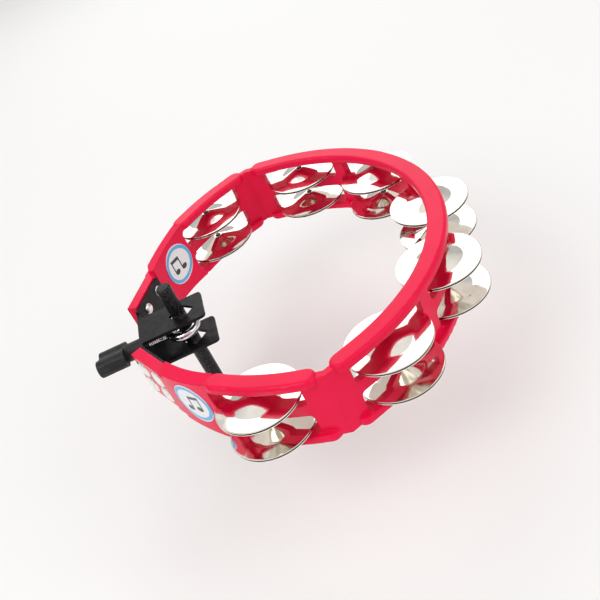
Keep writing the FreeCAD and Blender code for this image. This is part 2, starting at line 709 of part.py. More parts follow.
def make_badge(label, side, outside):
    """Thin round label that follows the arm's curved face; its shape is set in code."""
    thickness = size("badge_thickness")
    face = size("arm_radius") + size("shoulder") / 2 * outside
    inner = min(face, face + thickness * outside)
    tall = size("rim_height")
    centre = Vector(ARM_CENTRE.x, ARM_CENTRE.y * side, -tall / 2)
    shell = Part.makeCylinder(inner + thickness, tall, centre)
    shell = shell.cut(Part.makeCylinder(inner, tall, centre))
    direction = polar(Vector(), 1, size("badge_bearing") * side)
    start = Vector(centre.x, centre.y, size("badge_height")) + direction * (inner - 5 * thickness)
    disc = Part.makeCylinder(size("badge_radius"), 10 * thickness, start, direction)
    badge = doc.addObject("Part::Feature", label)
    badge.Label = label
    badge.Shape = shell.common(disc)
    badge.Placement = Placement(Vector(size("ring_offset"), 0, size("ring_height")), Rotation())
    return badge


# ---------------------------------------------------------------- clamp and rod

def make_rod():
    """Steel mounting rod with chamfered ends and a shallow depth mark."""
    body = new_body("rod")
    section = new_sketch(body, "rod_section", "XZ_Plane")
    radius = "Sizes.rod_diameter / 2"
    slim = radius + " - Sizes.rod_chamfer"
    top = "Sizes.rod_length - Sizes.rod_chamfer"
    draw_polygon(section, [
        ("0", "-Sizes.rod_chamfer"),
        (slim, "-Sizes.rod_chamfer"),
        (radius, "0"),
        (radius, "Sizes.rod_mark_height"),
        (radius + " - Sizes.rod_mark_depth", "Sizes.rod_mark_height"),
        (radius + " - Sizes.rod_mark_depth", "Sizes.rod_mark_height + Sizes.rod_mark_width"),
        (radius, "Sizes.rod_mark_height + Sizes.rod_mark_width"),
        (radius, top + " - Sizes.rod_chamfer"),
        (slim, top),
        ("0", top),
    ])
    revolve(body, section, "rod_spin")
    return body


def make_eyebolt():
    """Eyebolt: an eye round the rod, a neck and a threaded shank through the web."""
    centre = "Sizes.rod_diameter / 2 + Sizes.rod_clearance - Sizes.eye_bore / 2"
    start = "-Sizes.thread_start"
    eye = doc.addObject("Part::Torus", "eye")
    bind(eye, Radius1="(Sizes.eye_bore + Sizes.eye_wire) / 2", Radius2="Sizes.eye_wire / 2",
         Placement__Base__x=centre, Placement__Base__z="Sizes.ring_height")
    rear = "%s - (Sizes.eye_bore + Sizes.eye_wire) / 2" % centre
    neck = doc.addObject("Part::Cylinder", "neck")
    neck.Placement = Placement(Vector(), Rotation(Vector(0, 1, 0), -90))
    bind(neck, Radius="Sizes.neck_diameter / 2",
         Height="(%s) - (%s) + Sizes.fuse_depth" % (rear, start),
         Placement__Base__x=rear, Placement__Base__z="Sizes.ring_height")
    shank = doc.addObject("Part::Cylinder", "shank")
    shank.Placement = Placement(Vector(), Rotation(Vector(0, 1, 0), -90))
    bind(shank, Radius="Sizes.thread_diameter / 2",
         Height="Sizes.thread_end - Sizes.thread_start",
         Placement__Base__x=start, Placement__Base__z="Sizes.ring_height")
    bolt = doc.addObject("Part::MultiFuse", "eyebolt")
    bolt.Label = "eyebolt"
    bolt.Shapes = [eye, neck, shank]
    return bolt


def make_tube(label, outer, bore, start, length):
    """A plain tube round the bolt that starts at this distance from the rod's axis."""
    pieces = []
    for part_name, radius in (("outside", outer), ("bore", bore)):
        piece = doc.addObject("Part::Cylinder", label + "_" + part_name)
        piece.Placement = Placement(Vector(), Rotation(Vector(0, 1, 0), -90))
        bind(piece, Radius=radius, Height=length,
             Placement__Base__x="-(%s)" % start, Placement__Base__z="Sizes.ring_height")
        pieces.append(piece)
    tube = doc.addObject("Part::Cut", label)
    tube.Label = label
    tube.Base, tube.Tool = pieces
    return tube


def wing_outline():
    """Section across the knob's wings: two round lobes joined by a flat waist."""
    lobe = size("lobe_diameter") / 2
    middle = size("wing_spread") / 2
    half = size("waist") / 2
    reach = math.sqrt(lobe ** 2 - half ** 2)
    corner = Vector(middle - reach, half, 0)
    foot = Vector(corner.x, -half, 0)
    right = (foot, Vector(middle + lobe, 0, 0), corner)
    top = (corner, Vector(-corner.x, half, 0))
    left = (top[1], Vector(-middle - lobe, 0, 0), Vector(-foot.x, foot.y, 0))
    return [right, top, left, (left[2], foot)]


def make_knob():
    """Wing knob: a round collar against the washer, and two ridged wings."""
    body = new_body("wing_knob")
    collar = new_sketch(body, "collar_section", "YZ_Plane")
    draw_circle(collar, "0", "0", "Sizes.collar_diameter / 2")
    pad(body, collar, "collar_pad", "Sizes.collar_length + Sizes.fuse_depth", reverse=True)
    wings = new_sketch(body, "wing_section", "YZ_Plane")
    draw(wings, wing_outline())
    wings.setExpression("AttachmentOffset.Base.z", "-Sizes.collar_length")
    wing_pad = pad(body, wings, "wing_pad", "Sizes.wing_length", reverse=True)
    tip = -size("collar_length") - size("wing_length")

    def on_tip(edge):
        box = edge.BoundBox
        return box.XLength < 0.01 and abs(box.XMin - tip) < 0.01

    round_edges(body, wing_pad, "wing_tip", "Sizes.wing_round", on_tip)
    grooves = new_sketch(body, "grip_grooves", "YZ_Plane")
    for side in (1, -1):
        middle = Vector(side * size("wing_spread") / 2, 0, 0)
        for index in range(GRIP_GROOVES):
            degrees = (index - (GRIP_GROOVES - 1) / 2) * GROOVE_STEP + (0 if side > 0 else 180)
            place = polar(middle, size("lobe_diameter") / 2 + size("ridge_groove") * GROOVE_OUT, degrees)
            grooves.addGeometry(Part.Circle(place, UP, size("ridge_groove")), False)
    grooves.setExpression("AttachmentOffset.Base.z",
                          "-Sizes.collar_length - Sizes.wing_length - Sizes.fuse_depth")
    pocket(body, grooves, "grip_groove", "Sizes.wing_length + Sizes.fuse_depth - Sizes.groove_stop",
           reverse=True)
    seat = new_sketch(body, "insert_seat", "YZ_Plane")
    draw_circle(seat, "0", "0", "Sizes.insert_diameter / 2")
    pocket(body, seat, "insert_pocket", "Sizes.insert_length")
    bore = new_sketch(body, "bolt_bore", "YZ_Plane")
    draw_circle(bore, "0", "0", "Sizes.thread_diameter / 2 + Sizes.bolt_clearance")
    pocket(body, bore, "bolt_bore_pocket",
           "Sizes.collar_length + Sizes.wing_length - Sizes.knob_tip_wall")
    body.Placement = Placement(Vector(), Rotation(Vector(1, 0, 0), -size("wing_turn")))
    bind(body, Placement__Base__x="-(%s)" % KNOB_START, Placement__Base__z="Sizes.ring_height")
    return body


# ---------------------------------------------------------------- build, check and write

def build_pieces():
    """Every piece of the tambourine."""
    pieces = [make_frame(), make_bracket(), make_rod(), make_eyebolt(), make_knob()]
    thread = "Sizes.thread_diameter / 2"
    pieces.append(make_tube("washer", "Sizes.washer_diameter / 2", thread + " + Sizes.bolt_clearance",
                            "Sizes.rod_to_web", "Sizes.washer_thickness"))
    pieces.append(make_tube("threaded_insert", "Sizes.insert_diameter / 2",
                            thread + " + Sizes.thread_clearance", KNOB_START, "Sizes.insert_length"))
    for number, (place, _) in enumerate(stations(), start=1):
        pieces.append(make_pin(number, place))
        for row_name, row in zip(ROW_NAMES, (1, -1)):
            for part_name, upper in (("top", True), ("bottom", False)):
                label = "jingle_%d_%s_%s" % (number, row_name, part_name)
                pieces.append(make_jingle(label, place, row, upper))
    for side_name, side in SIDES:
        number = 0
        for along in (size("rivet_first"), size("rivet_second")):
            for level in (1, -1):
                number += 1
                pieces.append(make_rivet("rivet_%s_%d" % (side_name, number), side, along, level))
    pieces.append(make_badge("badge_near", -1, 1))
    pieces.append(make_badge("badge_far", 1, -1))
    return pieces


def check_document():
    """Stop if any object failed to compute."""
    for thing in doc.Objects:
        if "Invalid" in thing.State or "Error" in thing.State:
            raise RuntimeError("%s did not compute: %s" % (thing.Name, thing.State))


def write_pieces(pieces):
    """Check each piece's solid and write it to parts/LABEL.step."""
    os.makedirs("parts", exist_ok=True)
    for piece in pieces:
        shape = piece.Shape
        if shape.isNull() or not shape.isValid() or not shape.Solids:
            raise RuntimeError(piece.Label + " has no valid solid")
        shape.exportStep(os.path.join("parts", piece.Label + ".step"))
        box = shape.BoundBox
        print("%-26s %9.1f mm3  solids %d  x %.1f..%.1f  y %.1f..%.1f  z %.1f..%.1f" % (
            piece.Label, shape.Volume, len(shape.Solids),
            box.XMin, box.XMax, box.YMin, box.YMax, box.ZMin, box.ZMax))


pieces = build_pieces()
doc.recompute()
check_document()
write_pieces(pieces)
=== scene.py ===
# %% [markdown]
# # A rod-mounted tambourine
# This lesson dresses a tambourine that a drummer clamps to a rod. The designer's model gives every
# size and place, so it is loaded first and never changed. Each part below either gives one of its
# pieces a finish, or models the piece again with the small shapes that a plain design leaves out.

# %% Load the design
import json
import math

import bmesh
import bpy
from mathutils import Matrix, Vector

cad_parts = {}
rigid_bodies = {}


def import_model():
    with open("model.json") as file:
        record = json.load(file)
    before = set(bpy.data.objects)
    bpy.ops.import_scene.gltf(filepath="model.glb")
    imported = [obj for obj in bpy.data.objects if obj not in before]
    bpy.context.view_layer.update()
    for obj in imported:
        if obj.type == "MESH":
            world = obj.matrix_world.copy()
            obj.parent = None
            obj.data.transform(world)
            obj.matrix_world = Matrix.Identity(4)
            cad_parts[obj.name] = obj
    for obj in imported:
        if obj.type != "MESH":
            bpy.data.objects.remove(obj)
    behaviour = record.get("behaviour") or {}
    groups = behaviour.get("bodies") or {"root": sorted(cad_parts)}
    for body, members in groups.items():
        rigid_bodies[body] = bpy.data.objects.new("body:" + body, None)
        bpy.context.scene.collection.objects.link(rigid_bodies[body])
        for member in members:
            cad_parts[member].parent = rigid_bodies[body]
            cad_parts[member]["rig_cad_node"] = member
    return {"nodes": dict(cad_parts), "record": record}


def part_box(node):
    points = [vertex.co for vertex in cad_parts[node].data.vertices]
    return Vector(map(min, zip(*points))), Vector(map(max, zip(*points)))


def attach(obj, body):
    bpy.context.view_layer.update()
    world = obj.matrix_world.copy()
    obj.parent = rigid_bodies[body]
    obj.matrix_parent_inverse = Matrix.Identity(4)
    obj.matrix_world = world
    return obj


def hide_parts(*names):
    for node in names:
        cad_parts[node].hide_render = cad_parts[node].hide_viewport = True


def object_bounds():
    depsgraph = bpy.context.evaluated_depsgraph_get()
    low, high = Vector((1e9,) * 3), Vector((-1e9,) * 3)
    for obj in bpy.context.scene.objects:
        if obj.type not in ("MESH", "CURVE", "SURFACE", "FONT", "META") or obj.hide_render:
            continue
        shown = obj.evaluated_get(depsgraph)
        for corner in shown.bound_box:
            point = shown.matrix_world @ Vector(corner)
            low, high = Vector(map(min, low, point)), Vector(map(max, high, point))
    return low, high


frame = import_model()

MM = 0.001
cad_low, cad_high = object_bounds()
record_bodies = frame["record"]["behaviour"]["bodies"]
body_of_node = {node: body for body, nodes in record_bodies.items() for node in nodes}

# %% [markdown]
# Most of Blender's operators work on whatever is selected, and loading leaves everything selected.
# These few helpers select one piece, or the faces, edges or corners of a piece that lie where we say.
# Selecting in code by place keeps each step readable and repeatable.

# %% Selecting and finishing helpers
def take(piece):
    """Select this piece alone and make it active."""
    bpy.ops.object.select_all(action="DESELECT")
    piece.select_set(True)
    bpy.context.view_layer.objects.active = piece


def edit(piece):
    take(piece)
    bpy.ops.object.mode_set(mode="EDIT")


def leave_edit():
    bpy.ops.object.mode_set(mode="OBJECT")


def select_where(piece, kind, test):
    """In edit mode, select only the VERT, EDGE or FACE elements whose middle passes the test."""
    bpy.ops.mesh.select_mode(type=kind)
    bpy.ops.mesh.select_all(action="DESELECT")
    shape = bmesh.from_edit_mesh(piece.data)
    elements = {"VERT": shape.verts, "EDGE": shape.edges, "FACE": shape.faces}[kind]
    for element in elements:
        corners = [element] if kind == "VERT" else list(element.verts)
        middle = sum((corner.co for corner in corners), Vector()) / len(corners)
        element.select_set(test(middle))
    shape.select_flush_mode()
    bmesh.update_edit_mesh(piece.data)


def apply_modifier(piece, kind, **settings):
    """Add a modifier, set it up and apply it."""
    take(piece)
    modifier = piece.modifiers.new(kind.title(), kind)
    for key, value in settings.items():
        setattr(modifier, key, value)
    bpy.ops.object.modifier_apply(modifier=modifier.name)


def smooth(piece, degrees):
    take(piece)
    bpy.ops.object.shade_smooth_by_angle(angle=math.radians(degrees))


def settle(piece, slot, *nodes):
    """Put the piece's place into its mesh, tie it to the body of the design's nodes and hide those nodes;
    slot is not used.
    """
    take(piece)
    bpy.ops.object.transform_apply(location=True, rotation=True, scale=True)
    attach(piece, body_of_node[nodes[0]])
    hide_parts(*nodes)


def faces_of(piece):
    return len(piece.data.polygons)

# %% [markdown]
# A finish is a shader with a little unevenness in it. Real plastic, plating and paint are never one
# flat value: the roughness drifts, the colour varies slightly, and the surface carries a fine grain.
# Each helper adds one of those to a material, all measured in metres on the object itself, so the
# pattern stays on the piece when it moves.

# %% Finish helpers
def new_finish(name, colour, metallic=0.0, roughness=0.4, **sockets):
    """A material with one main shader. Underscores in a socket's name stand for spaces."""
    material = bpy.data.materials.new(name)
    material.use_nodes = True
    shader = material.node_tree.nodes["Principled BSDF"]
    shader.inputs["Base Color"].default_value = (*colour, 1)
    shader.inputs["Metallic"].default_value = metallic
    shader.inputs["Roughness"].default_value = roughness
    for socket, value in sockets.items():
        shader.inputs[socket.replace("_", " ")].default_value = value
    return material


def add_node(material, kind, **inputs):
    node = material.node_tree.nodes.new(kind)
    for socket, value in inputs.items():
        node.inputs[socket.replace("_", " ")].default_value = value
    return node


def link(material, source, target):
    material.node_tree.links.new(source, target)


def shader_of(material):
    return material.node_tree.nodes["Principled BSDF"]


def noise(material, scale, detail=3.0, stretch=(1, 1, 1)):
    """Cloudy noise over the object, about one cloud every 1/scale metres."""
    place = add_node(material, "ShaderNodeTexCoord")
    mapping = add_node(material, "ShaderNodeMapping", Scale=stretch)
    cloud = add_node(material, "ShaderNodeTexNoise", Scale=scale, Detail=detail)
    link(material, place.outputs["Object"], mapping.inputs["Vector"])
    link(material, mapping.outputs["Vector"], cloud.inputs["Vector"])
    return cloud.outputs["Fac"]


def spread(material, source, low, high, start=0.35, end=0.65):
    """Stretch a 0 to 1 pattern so that start becomes low and end becomes high."""
    node = add_node(material, "ShaderNodeMapRange")
    for index, value in enumerate((start, end, low, high), start=1):
        node.inputs[index].default_value = value
    link(material, source, node.inputs[0])
    return node.outputs[0]


def vary_roughness(material, scale, low, high, **pattern):
    link(material, spread(material, noise(material, scale, **pattern), low, high),
         shader_of(material).inputs["Roughness"])


def blend_colours(material, mask, first, second):
    """Mix two colours, or two colour outputs, by a mask."""
    mix = material.node_tree.nodes.new("ShaderNodeMix")
    mix.data_type = "RGBA"
    link(material, mask, mix.inputs[0])
    for socket, colour in ((mix.inputs[6], first), (mix.inputs[7], second)):
        if isinstance(colour, tuple):
            socket.default_value = (*colour, 1)
        else:
            link(material, colour, socket)
    return mix.outputs[2]


def vary_colour(material, scale, first, second, start=0.35, end=0.65, **pattern):
    mask = spread(material, noise(material, scale, **pattern), 0, 1, start, end)
    link(material, blend_colours(material, mask, first, second), shader_of(material).inputs["Base Color"])


def add_grain(material, height, distance, strength=1.0):
    """Bump from a height pattern, on top of any bump the material already has."""
    normal = shader_of(material).inputs["Normal"]
    bump = add_node(material, "ShaderNodeBump", Strength=strength, Distance=distance)
    if normal.is_linked:
        link(material, normal.links[0].from_socket, bump.inputs["Normal"])
    link(material, height, bump.inputs["Height"])
    link(material, bump.outputs["Normal"], normal)

# %% [markdown]
# The ring is one glossy injection moulding in a strong red. Polypropylene or ABS has a hard, slightly
# wavy gloss: light runs along the rims, and the flat walls mirror the room softly. A low roughness over
# a saturated base gives that, with a faint waviness, a fine mould grain and light handling marks.
# A mould also rounds every edge a little, and the Bevel node rounds the light on them.

# %% Red plastic
MOULD_RADIUS = 0.9
red = new_finish("red_moulded_plastic", (0.86, 0.005, 0.05), roughness=0.25, Specular_IOR_Level=0.16)
soft_edges = add_node(red, "ShaderNodeBevel", Radius=MOULD_RADIUS * MM)
soft_edges.samples = 6
link(red, soft_edges.outputs["Normal"], shader_of(red).inputs["Normal"])
vary_colour(red, 22, (0.88, 0.005, 0.066), (0.82, 0.004, 0.055), detail=2)
vary_roughness(red, 60, 0.17, 0.27, detail=4)
add_grain(red, noise(red, 45, detail=1), 0.0004, 0.12)
add_grain(red, noise(red, 2600, detail=2), 0.00003, 0.35)
add_grain(red, spread(red, noise(red, 220, detail=5, stretch=(1, 1, 7)), 0, 1, 0.66, 0.72), 0.00003, 0.12)
print("finish", red.name)

# %% [markdown]
# The jingles and their fittings are plated. Nickel is a touch warmer than chrome, and a pressed jingle
# keeps fine rings from the tool that spun it. Their pattern follows the jingle's own map, which runs
# round it and outwards, and the reflection is stretched across the rings.

# %% Plated metals
nickel = new_finish("bright_nickel", (0.86, 0.82, 0.76), metallic=1.0, roughness=0.12, Anisotropic=0.45)
vary_colour(nickel, 90, (0.88, 0.85, 0.79), (0.78, 0.73, 0.66), start=0.45, end=0.75, detail=4)
own_map = add_node(nickel, "ShaderNodeUVMap")
rings_place = add_node(nickel, "ShaderNodeMapping", Scale=(2.0, 90.0, 1.0))
rings = add_node(nickel, "ShaderNodeTexNoise", Scale=1.0, Detail=4.0)
link(nickel, own_map.outputs["UV"], rings_place.inputs["Vector"])
link(nickel, rings_place.outputs["Vector"], rings.inputs["Vector"])
round_it = add_node(nickel, "ShaderNodeTangent")
round_it.direction_type = "UV_MAP"
link(nickel, round_it.outputs["Tangent"], shader_of(nickel).inputs["Tangent"])
vary_roughness(nickel, 140, 0.04, 0.12, detail=5)
add_grain(nickel, rings.outputs["Fac"], 0.00003, 0.3)
add_grain(nickel, noise(nickel, 120, detail=1), 0.0003, 0.07)

pin_steel = new_finish("pin_steel", (0.42, 0.41, 0.40), metallic=1.0, roughness=0.3)
vary_colour(pin_steel, 300, (0.46, 0.45, 0.44), (0.28, 0.27, 0.26))
vary_roughness(pin_steel, 500, 0.2, 0.42)
add_grain(pin_steel, noise(pin_steel, 2500, stretch=(1, 1, 0.2)), 0.00003, 0.5)

zinc = new_finish("polished_zinc", (0.78, 0.79, 0.82), metallic=1.0, roughness=0.13)
vary_colour(zinc, 250, (0.82, 0.83, 0.86), (0.62, 0.63, 0.67), start=0.4, end=0.7)
vary_roughness(zinc, 350, 0.08, 0.24, detail=4)
add_grain(zinc, noise(zinc, 500, detail=2), 0.00006, 0.3)

rivet_metal = new_finish("rivet_nickel", (0.88, 0.87, 0.85), metallic=1.0, roughness=0.18)
vary_colour(rivet_metal, 400, (0.90, 0.89, 0.87), (0.72, 0.71, 0.70), start=0.45, end=0.75)
vary_roughness(rivet_metal, 500, 0.12, 0.3)
add_grain(rivet_metal, noise(rivet_metal, 700, detail=2), 0.00006, 0.35)

brass = new_finish("insert_brass", (0.72, 0.50, 0.20), metallic=1.0, roughness=0.3)
vary_colour(brass, 400, (0.76, 0.55, 0.24), (0.55, 0.36, 0.13))
vary_roughness(brass, 600, 0.22, 0.42)
add_grain(brass, noise(brass, 1500), 0.00003, 0.4)
print("finishes", nickel.name, pin_steel.name, zinc.name, rivet_metal.name, brass.name)

# %% [markdown]
# The clamp is black all over, in three different blacks: a satin powder coat on the folded bracket, a
# pebbled, speckled coat on the rod, and a dull moulded plastic on the knob. The difference lies in how
# coarse the grain is and how wide the highlight spreads.

# %% Blacks
black_paint = new_finish("black_powder_coat", (0.006, 0.006, 0.007), roughness=0.36, Specular_IOR_Level=0.2)
vary_colour(black_paint, 160, (0.004, 0.004, 0.005), (0.009, 0.009, 0.011), detail=4)
vary_roughness(black_paint, 240, 0.30, 0.46, detail=3)
add_grain(black_paint, noise(black_paint, 1600, detail=3), 0.00008, 0.35)

rod_coat = new_finish("black_rod_coat", (0.012, 0.012, 0.013), roughness=0.34, Specular_IOR_Level=0.25)
vary_colour(rod_coat, 900, (0.005, 0.005, 0.006), (0.07, 0.07, 0.075), start=0.52, end=0.72, detail=5)
vary_roughness(rod_coat, 700, 0.22, 0.5, detail=4)
add_grain(rod_coat, noise(rod_coat, 1500, detail=4), 0.00025, 0.6)

knob_plastic = new_finish("black_knob_plastic", (0.008, 0.008, 0.009), roughness=0.5, Specular_IOR_Level=0.35)
vary_colour(knob_plastic, 200, (0.012, 0.012, 0.013), (0.022, 0.022, 0.024), detail=3)
vary_roughness(knob_plastic, 300, 0.4, 0.6, detail=3)
add_grain(knob_plastic, noise(knob_plastic, 2200, detail=3), 0.00008, 0.5)
print("finishes", black_paint.name, rod_coat.name, knob_plastic.name)

# %% [markdown]
# A jingle is a disc of thin sheet, pressed into a shallow cone with a small hub and a wide brim. A circle
# is extruded outwards, ring by ring, and the sheet's thickness and its soft edges come from modifiers.
# The design's sheet is thicker than a real one looks. So the sheet here is thinner, and is lifted until
# its upper face is where the design has it.

# %% Turning helper
def turn_profile(name, rings, steps=72, close_start=False, close_end=False):
    """Extrude a circle from ring to ring; each ring is a radius and a height in millimetres."""
    radius, height = rings[0]
    bpy.ops.object.select_all(action="DESELECT")
    bpy.ops.mesh.primitive_circle_add(vertices=steps, radius=radius * MM, fill_type="NOTHING")
    piece = bpy.context.active_object
    piece.name = name
    edit(piece)
    bpy.ops.mesh.select_all(action="SELECT")
    bpy.ops.transform.translate(value=(0, 0, height * MM))
    if close_start:
        bpy.ops.mesh.edge_face_add()
    for next_radius, next_height in rings[1:]:
        bpy.ops.mesh.extrude_edges_move(TRANSFORM_OT_translate={"value": (0, 0, (next_height - height) * MM)})
        factor = next_radius / radius
        bpy.ops.transform.resize(value=(factor, factor, 1), center_override=(0, 0, 0))
        radius, height = next_radius, next_height
    if close_end:
        bpy.ops.mesh.edge_face_add()
    bpy.ops.mesh.select_all(action="SELECT")
    bpy.ops.mesh.normals_make_consistent(inside=False)
    leave_edit()
    return piece


def copy_of(model, name):
    """A copy with its own mesh."""
    take(model)
    bpy.ops.object.duplicate(linked=False)
    copy = bpy.context.active_object
    copy.name = name
    copy.data.name = name
    return copy

# %% One jingle
low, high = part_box("jingle_1_upper_top")
JINGLE_RADIUS = (high.x - low.x) / 2 / MM
SHEET = 0.5
LIFT = 0.3
DOME = (high.z - low.z) / MM - SHEET - LIFT
HOLE_RADIUS = 2.0
SHEET_EDGE = 0.1
cone_top = (3.3, DOME - 0.06)
cone_foot = (13.9, 0.62)
cone_run = cone_foot[0] - cone_top[0]
cone_rise = cone_foot[1] - cone_top[1]
cone = [(cone_top[0] + cone_run * share, cone_top[1] + cone_rise * share)
        for share in (0, 0.25, 0.5, 0.75, 1)]
hub = [(HOLE_RADIUS, DOME), (2.2, DOME), (2.8, DOME)]
brim = [(14.9, 0.42), (16.4, 0.34), (20.5, 0.18), (24.2, 0.03), (JINGLE_RADIUS - 0.05, 0.0)]
bell_rings = [(radius, height + LIFT) for radius, height in hub + cone + brim]
jingle = turn_profile("jingle_model", bell_rings, steps=96)
if sum(face.normal.z for face in jingle.data.polygons) < 0:
    edit(jingle)
    bpy.ops.mesh.select_all(action="SELECT")
    bpy.ops.mesh.flip_normals()
    leave_edit()
apply_modifier(jingle, "SOLIDIFY", thickness=SHEET * MM, offset=1.0, use_even_offset=True)
apply_modifier(jingle, "BEVEL", width=SHEET_EDGE * MM, segments=2, limit_method="ANGLE",
               angle_limit=math.radians(50))
smooth(jingle, 35)
jingle.data.materials.append(nickel)
print("jingle faces", faces_of(jingle), "radius", round(JINGLE_RADIUS, 2), "dome", round(DOME, 2))

# %% Round map of the jingle
def wrap_round_map(piece, radius):
    """A map that runs round the piece one way and outwards the other, for its spinning marks."""
    layer = piece.data.uv_layers.new(name="round")
    for face in piece.data.polygons:
        middle = math.atan2(face.center.y, face.center.x) / math.tau
        for loop in face.loop_indices:
            corner = piece.data.vertices[piece.data.loops[loop].vertex_index].co
            turn = math.atan2(corner.y, corner.x) / math.tau
            turn += round(middle - turn)
            layer.data[loop].uv = (turn, corner.xy.length / radius)


wrap_round_map(jingle, JINGLE_RADIUS * MM)
print("map corners", len(jingle.data.uv_layers[0].data))

# %% [markdown]
# Every pair rides a pin, the upper jingle with its bell up and the lower one with its bell down, brim
# to brim. One model is copied to all 28 places, and each copy is turned by its own amount, since loose
# jingles never line up.

# %% All jingles
GOLDEN_TURN = math.radians(137.5)
jingle_nodes = sorted(node for node in frame["nodes"] if node.startswith("jingle_") and "pin" not in node)
for index, node in enumerate(jingle_nodes):
    low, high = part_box(node)
    bell_up = node.endswith("_top")
    copy = copy_of(jingle, "pressed_" + node)
    copy.location = ((low.x + high.x) / 2, (low.y + high.y) / 2, low.z if bell_up else high.z)
    copy.rotation_euler = (0 if bell_up else math.pi, 0, index * GOLDEN_TURN)
    settle(copy, "nickel", node)
bpy.data.objects.remove(jingle)
print("jingles", len(jingle_nodes))

# %% [markdown]
# The rivets clamp the ring's two nose panels to the bracket: a wide, low dome outside and a small set
# tail inside. Their axes are square to the panels, so the direction comes from two rivets in a row, and
# the place from the tip of each dome.

# %% Rivets
HEAD = [(0.5, 0.0), (1.8, -0.04), (3.2, -0.2), (4.4, -0.5), (5.3, -0.88), (5.8, -1.22), (6.0, -1.5)]
SHANK = [(2.0, -1.5), (2.0, -10.5)]
TAIL = [(3.8, -10.5), (3.75, -10.85), (3.3, -11.4), (2.2, -11.95), (0.7, -12.2)]
rivet = turn_profile("rivet_model", HEAD + SHANK + TAIL, steps=40, close_start=True, close_end=True)
smooth(rivet, 40)
rivet.data.materials.append(rivet_metal)


def middle_of(node):
    low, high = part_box(node)
    return (low + high) / 2


def along_panel(side):
    """The direction along a nose panel, from its third rivet to its first."""
    return (middle_of("rivet_%s_1" % side) - middle_of("rivet_%s_3" % side)).normalized()


for side, sign in (("far", 1), ("near", -1)):
    along = along_panel(side)
    outwards = Vector((-along.y, along.x, 0))
    outwards *= math.copysign(1, outwards.y * sign)
    for number in range(1, 5):
        node = "rivet_%s_%d" % (side, number)
        corners = frame["nodes"][node].data.vertices
        tip = max((corner.co for corner in corners), key=lambda place: place.dot(outwards))
        copy = copy_of(rivet, "set_" + node)
        copy.rotation_euler = outwards.to_track_quat("Z", "Y").to_euler()
        copy.location = tip.copy()
        settle(copy, "rivet_nickel", node)
bpy.data.objects.remove(rivet)
print("rivet faces", faces_of(copy))

# %% [markdown]
# The eyebolt is bent and forged from wire: the rod passes through its eye, and its threaded end draws
# the rod into the notch of the two plates. A torus and a neck are fused and remeshed, so the weld
# between them flows, and the thread is a small ridge wound round a core by a Screw modifier.

# %% Eye and neck
low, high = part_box("eyebolt")
WIRE = high.z - low.z
EYE_OUTSIDE = (high.y - low.y) / 2
eye_centre = Vector((high.x - EYE_OUTSIDE, 0, (low.z + high.z) / 2))
BOLT_END = low.x
NECK_RADIUS = 2.7
THREAD_START = -16.8 * MM
VOXEL = 0.32
bpy.ops.object.select_all(action="DESELECT")
bpy.ops.mesh.primitive_torus_add(major_radius=EYE_OUTSIDE - WIRE / 2, minor_radius=WIRE / 2,
                                 major_segments=72, minor_segments=24, location=eye_centre)
eyebolt = bpy.context.active_object
bpy.ops.object.transform_apply(location=True, rotation=True, scale=True)
neck_length = (eye_centre.x - EYE_OUTSIDE + WIRE / 2 - THREAD_START) / MM
neck_rings = [(3.6, 0), (3.0, 1.6), (2.75, 3.2), (NECK_RADIUS, 4.5), (NECK_RADIUS, neck_length)]
neck = turn_profile("neck", neck_rings, steps=48, close_start=True, close_end=True)
neck.rotation_euler = (0, -math.pi / 2, 0)
neck.location = (eye_centre.x - EYE_OUTSIDE + WIRE / 2, 0, eye_centre.z)
take(neck)
bpy.ops.object.transform_apply(location=True, rotation=True, scale=True)
apply_modifier(eyebolt, "BOOLEAN", operation="UNION", object=neck, solver="EXACT")
apply_modifier(eyebolt, "REMESH", mode="VOXEL", voxel_size=VOXEL * MM)
apply_modifier(eyebolt, "SMOOTH", factor=0.5, iterations=5)
bpy.data.objects.remove(neck)
print("eye faces", faces_of(eyebolt))

# %% Thread
PITCH = 1.27
ROOT, CREST = 2.62, 3.16
CORE_RADIUS = 2.64
END_RADIUS = 1.6
END_CHAMFER = 1.1
FIRST_TURN = 1.9
BARE_ENDS = 2.4
bolt_length = (THREAD_START - BOLT_END) / MM
bpy.ops.object.select_all(action="DESELECT")
bpy.ops.mesh.primitive_plane_add(size=PITCH / math.sqrt(2) * MM, rotation=(math.pi / 2, 0, 0))
thread = bpy.context.active_object
bpy.ops.object.transform_apply(location=False, rotation=True, scale=False)
edit(thread)
bpy.ops.mesh.select_all(action="SELECT")
bpy.ops.transform.rotate(value=math.pi / 4, orient_axis="Y", center_override=(0, 0, 0))
bpy.ops.transform.resize(value=(1, 1, (CREST - ROOT) / (PITCH / 2)), center_override=(0, 0, 0))
select_where(thread, "VERT", lambda middle: middle.z < -0.05 * MM)
bpy.ops.mesh.delete(type="VERT")
bpy.ops.mesh.select_all(action="SELECT")
bpy.ops.transform.translate(value=(BOLT_END + FIRST_TURN * MM, 0, ROOT * MM))
leave_edit()
apply_modifier(thread, "SCREW", axis="X", screw_offset=PITCH * MM, steps=36, render_steps=36,
               iterations=int((bolt_length - BARE_ENDS) / PITCH), use_merge_vertices=True,
               merge_threshold=0.001 * MM)
core_rings = [(END_RADIUS, 0), (ROOT, END_CHAMFER), (CORE_RADIUS, bolt_length)]
core = turn_profile("core", core_rings, steps=36, close_start=True, close_end=True)
core.rotation_euler = (0, math.pi / 2, 0)
core.location = (BOLT_END, 0, 0)
take(core)
bpy.ops.object.transform_apply(location=True, rotation=True, scale=True)
for part in (thread, core):
    part.data.transform(Matrix.Translation((0, 0, eye_centre.z)))
edit(thread)
bpy.ops.mesh.select_all(action="SELECT")
bpy.ops.mesh.normals_make_consistent(inside=False)
leave_edit()
print("thread faces", faces_of(thread), "length", round(bolt_length, 1))

